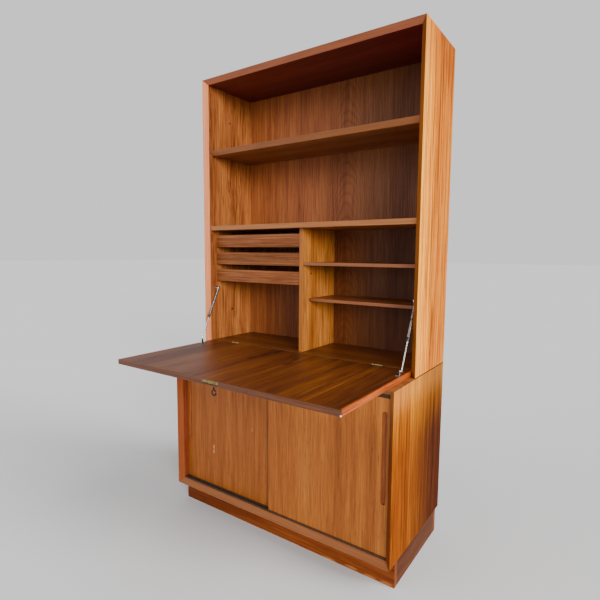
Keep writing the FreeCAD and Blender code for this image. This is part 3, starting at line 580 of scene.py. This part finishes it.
# the heads are 6 mm thick, so the caps start this far from the middle line
head_side = 0.0031
for side, word in ((-1, "left"), (1, "right")):
    pivot = np.array((side * stay_x, -0.0224, 0.938))
    eye = np.array((side * stay_x, -0.1294, 0.7135))
    inwards = np.array((-side * 1.0, 0.0, 0.0))
    skin("stay_pivot_cap_" + word, turned(pivot + head_side * inwards, pivot + inwards, (
        (0.0, 0.0076), (0.0006, 0.0084), (0.0016, 0.0084), (0.0028, 0.0074), (0.0036, 0.0054),
        (0.0038, 0.0030), (0.0033, 0.0020), (0.0031, 0.0004))), cap_metal,
         "stay_tube_" + word)
    skin("stay_eye_rivet_" + word, turned(eye + head_side * inwards, eye + inwards, (
        (0.0, 0.0036), (0.0006, 0.0040), (0.0014, 0.0034), (0.0020, 0.0020), (0.0021, 0.0004))),
         chrome, "stay_rod_" + word)
    skin("stay_neck_ring_" + word, turned(pivot, eye, (
        (0.0085, 0.0048), (0.0090, 0.0057), (0.0105, 0.0057), (0.0110, 0.0052),
        (0.0116, 0.0052), (0.0121, 0.0057), (0.0136, 0.0057), (0.0141, 0.0048))), chrome,
         "stay_tube_" + word, hoop=True)
    skin("stay_mouth_" + word, turned(pivot, eye, (
        (0.1305, 0.0048), (0.1312, 0.0063), (0.1330, 0.0063), (0.1336, 0.0059), (0.1350, 0.0059),
        (0.1356, 0.0063), (0.1400, 0.0063), (0.1425, 0.0050), (0.1440, 0.0034), (0.1440, 0.0028),
        (0.1425, 0.0028), (0.1425, 0.0048))), mouth_dark, "stay_tube_" + word, hoop=True)

# ------------------------------------------------------------------ case bolts, lock and panel pins
# The two cases are bolted together through the lower top, and the lock sits in the flap's edge,
# both plain steel, a dull even grey. Round-headed steel pins hold the back panels in rebates.
steel = metal("steel_plain", "#a8a8a6", "#6e6e6c", 0.3, 0.5, 0.005)
coat(steel, "lock_case", "case_bolts")


def panel_pins(name, panel, step, inset=0.009, radius=0.002, height=0.0008):
    """Domed heads all round a back panel, inset from its edge and about step apart.

    The heads are copies of one dome, whose rings have radius * cos(climb) and height * sin(climb),
    from just under the panel's face to a small flat at the top.
    """
    low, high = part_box(panel)
    xs = np.linspace(low[0] + inset, high[0] - inset, round((high[0] - low[0]) / step) + 1)
    zs = np.linspace(low[2] + inset, high[2] - inset, round((high[2] - low[2]) / step) + 1)
    across = np.stack([np.concatenate([xs, xs]), np.repeat([zs[0], zs[-1]], len(xs))], axis=-1)
    upright = np.stack([np.repeat([xs[0], xs[-1]], len(zs) - 2), np.tile(zs[1:-1], 2)], axis=-1)
    places = np.concatenate([across, upright])
    climb = np.array([-0.1, 0.0, 1 / 3, 2 / 3, 0.92]) * np.pi / 2
    turn = np.arange(10) * 2 * np.pi / 10
    here = np.arange(climb.size * turn.size).reshape(climb.size, turn.size)
    dome = np.stack([radius * np.cos(climb)[:, None] * np.cos(turn),
                     np.broadcast_to(height * np.sin(climb)[:, None], here.shape),
                     radius * np.cos(climb)[:, None] * np.sin(turn)], axis=-1).reshape(-1, 3)
    centres = np.stack([places[:, 0], np.full(len(places), high[1]), places[:, 1]], axis=-1)
    points = (centres[:, None] + dome[None]).reshape(-1, 3)
    beside = np.roll(here, -1, axis=1)
    quads = np.stack([here[:-1], here[1:], beside[1:], beside[:-1]], axis=-1).reshape(-1, 4)
    shift = np.arange(len(places))[:, None, None] * here.size
    faces = (quads[None] + shift).reshape(-1, 4).tolist()
    faces += (here[-1][::-1][None] + shift[:, :, 0]).tolist()
    faces += (here[0][None] + shift[:, :, 0]).tolist()
    mesh = bpy.data.meshes.new(name)
    mesh.from_pydata(points.tolist(), [], faces)
    mesh.shade_smooth()
    mesh.materials.append(steel)
    pins = bpy.data.objects.new(name, mesh)
    bpy.context.scene.collection.objects.link(pins)
    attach(pins, "cabinet")


panel_pins("back_pins_upper", "upper_back", 0.15)
panel_pins("back_pins_lower", "lower_back", 0.15)

# ------------------------------------------------------------------ door tracks
# Grooved strips of extruded brown plastic under and over the doors. The plastic is matt and dust
# has settled in it, so it shows as a dark line with no highlight.
track = bpy.data.materials.new("plastic_track")
track.use_nodes = True
tree = track.node_tree
shader = tree.nodes["Principled BSDF"]
place = add(tree, "TexCoord")
# clouds of dust about 17 mm across
dust = add(tree, "TexNoise", {}, {"Vector": place.outputs["Object"], "Scale": 60.0, "Detail": 3.0})
tint = add(tree, "Mix", {"data_type": "RGBA"}, {0: dust.outputs[0], 6: linear("#2e2018"),
                                                7: linear("#4a3a2e")})
tree.links.new(tint.outputs[2], shader.inputs["Base Color"])
shader.inputs["Roughness"].default_value = 0.75
shader.inputs["Specular IOR Level"].default_value = 0.1
coat(track, "door_track_top", "door_track_bottom")

# ------------------------------------------------------------------ floor, light and camera
# A plain pale studio floor without an edge, painted matt so that it holds only a soft shadow.
# Three wide soft lamps stand on the right and a weak one on the left, and the camera stands in
# front of the right corner at chest height.
reach = 60
floor_mesh = bpy.data.meshes.new("floor")
floor_mesh.from_pydata([(-reach, -reach, 0), (reach, -reach, 0), (reach, reach, 0),
                        (-reach, reach, 0)], [], [(0, 1, 2, 3)])
floor = bpy.data.objects.new("floor", floor_mesh)
bpy.context.scene.collection.objects.link(floor)
paint = bpy.data.materials.new("floor_paint")
paint.use_nodes = True
tree = paint.node_tree
shader = tree.nodes["Principled BSDF"]
place = add(tree, "TexCoord")
drift = add(tree, "TexNoise", {}, {"Vector": place.outputs["Object"], "Scale": 0.6, "Detail": 2.0})
shade = add(tree, "Mix", {"data_type": "RGBA"}, {0: drift.outputs[0], 6: linear("#d0d0d0"),
                                                 7: linear("#d4d4d4")})
tree.links.new(shade.outputs[2], shader.inputs["Base Color"])
shader.inputs["Roughness"].default_value = 0.9
shader.inputs["Specular IOR Level"].default_value = 0.0
floor_mesh.materials.append(paint)

# white walls all round: the light they give, and how bright the camera sees them
world = bpy.data.worlds.new("studio")
bpy.context.scene.world = world
world.use_nodes = True
tree = world.node_tree
walls = tree.nodes["Background"]
walls.inputs["Color"].default_value = linear("#ffffff")
walls.inputs["Strength"].default_value = 0.635
seen = add(tree, "Background", {}, {"Color": linear("#ffffff"), "Strength": 0.93})
ray = add(tree, "LightPath")
either = add(tree, "MixShader", {}, {0: ray.outputs["Is Camera Ray"],
                                     1: walls.outputs[0], 2: seen.outputs[0]})
tree.links.new(either.outputs[0], tree.nodes["World Output"].inputs["Surface"])


def sun(name, azimuth, elevation, energy, spread):
    """A far soft lamp, all angles in degrees.

    It stands at (sin a cos e, -cos a cos e, sin e), so azimuth counts from the room side to the
    right, and spread is how wide it looks, which softens the shadows.
    """
    lamp = bpy.data.lights.new(name, "SUN")
    lamp.energy = energy
    lamp.angle = math.radians(spread)
    holder = bpy.data.objects.new(name, lamp)
    bpy.context.scene.collection.objects.link(holder)
    a, e = math.radians(azimuth), math.radians(elevation)
    source = Vector((math.sin(a) * math.cos(e), -math.cos(a) * math.cos(e), math.sin(e)))
    holder.rotation_euler = source.to_track_quat("Z", "Y").to_euler()


sun("key_light", 55, 12, 3.9, 22)
sun("side_light", 102, 26, 1.7, 24)
sun("high_light", 95, 45, 1.6, 30)
sun("left_light", -42, 14, 1.3, 50)

# the camera looks along ahead, turned left by yaw, down by pitch, and leaning by roll
lens = bpy.data.cameras.new("camera")
lens.lens = 27.37
lens.sensor_width = 36.0
lens.clip_end = 200.0
camera = bpy.data.objects.new("camera", lens)
bpy.context.scene.collection.objects.link(camera)
yaw, pitch, roll = math.radians(34.8), math.radians(5.8), math.radians(0.4)
ahead = Vector((-math.sin(yaw) * math.cos(pitch), math.cos(yaw) * math.cos(pitch),
                -math.sin(pitch)))
level = Vector((math.cos(yaw), math.sin(yaw), 0.0))
above = level.cross(ahead)
right = level * math.cos(roll) + above * math.sin(roll)
up = above * math.cos(roll) - level * math.sin(roll)
stand = (1.0376, -1.5326, 1.0982)
camera.matrix_world = Matrix.Translation(stand) @ Matrix(
    (right, up, -ahead)).transposed().to_4x4()
bpy.context.scene.camera = camera
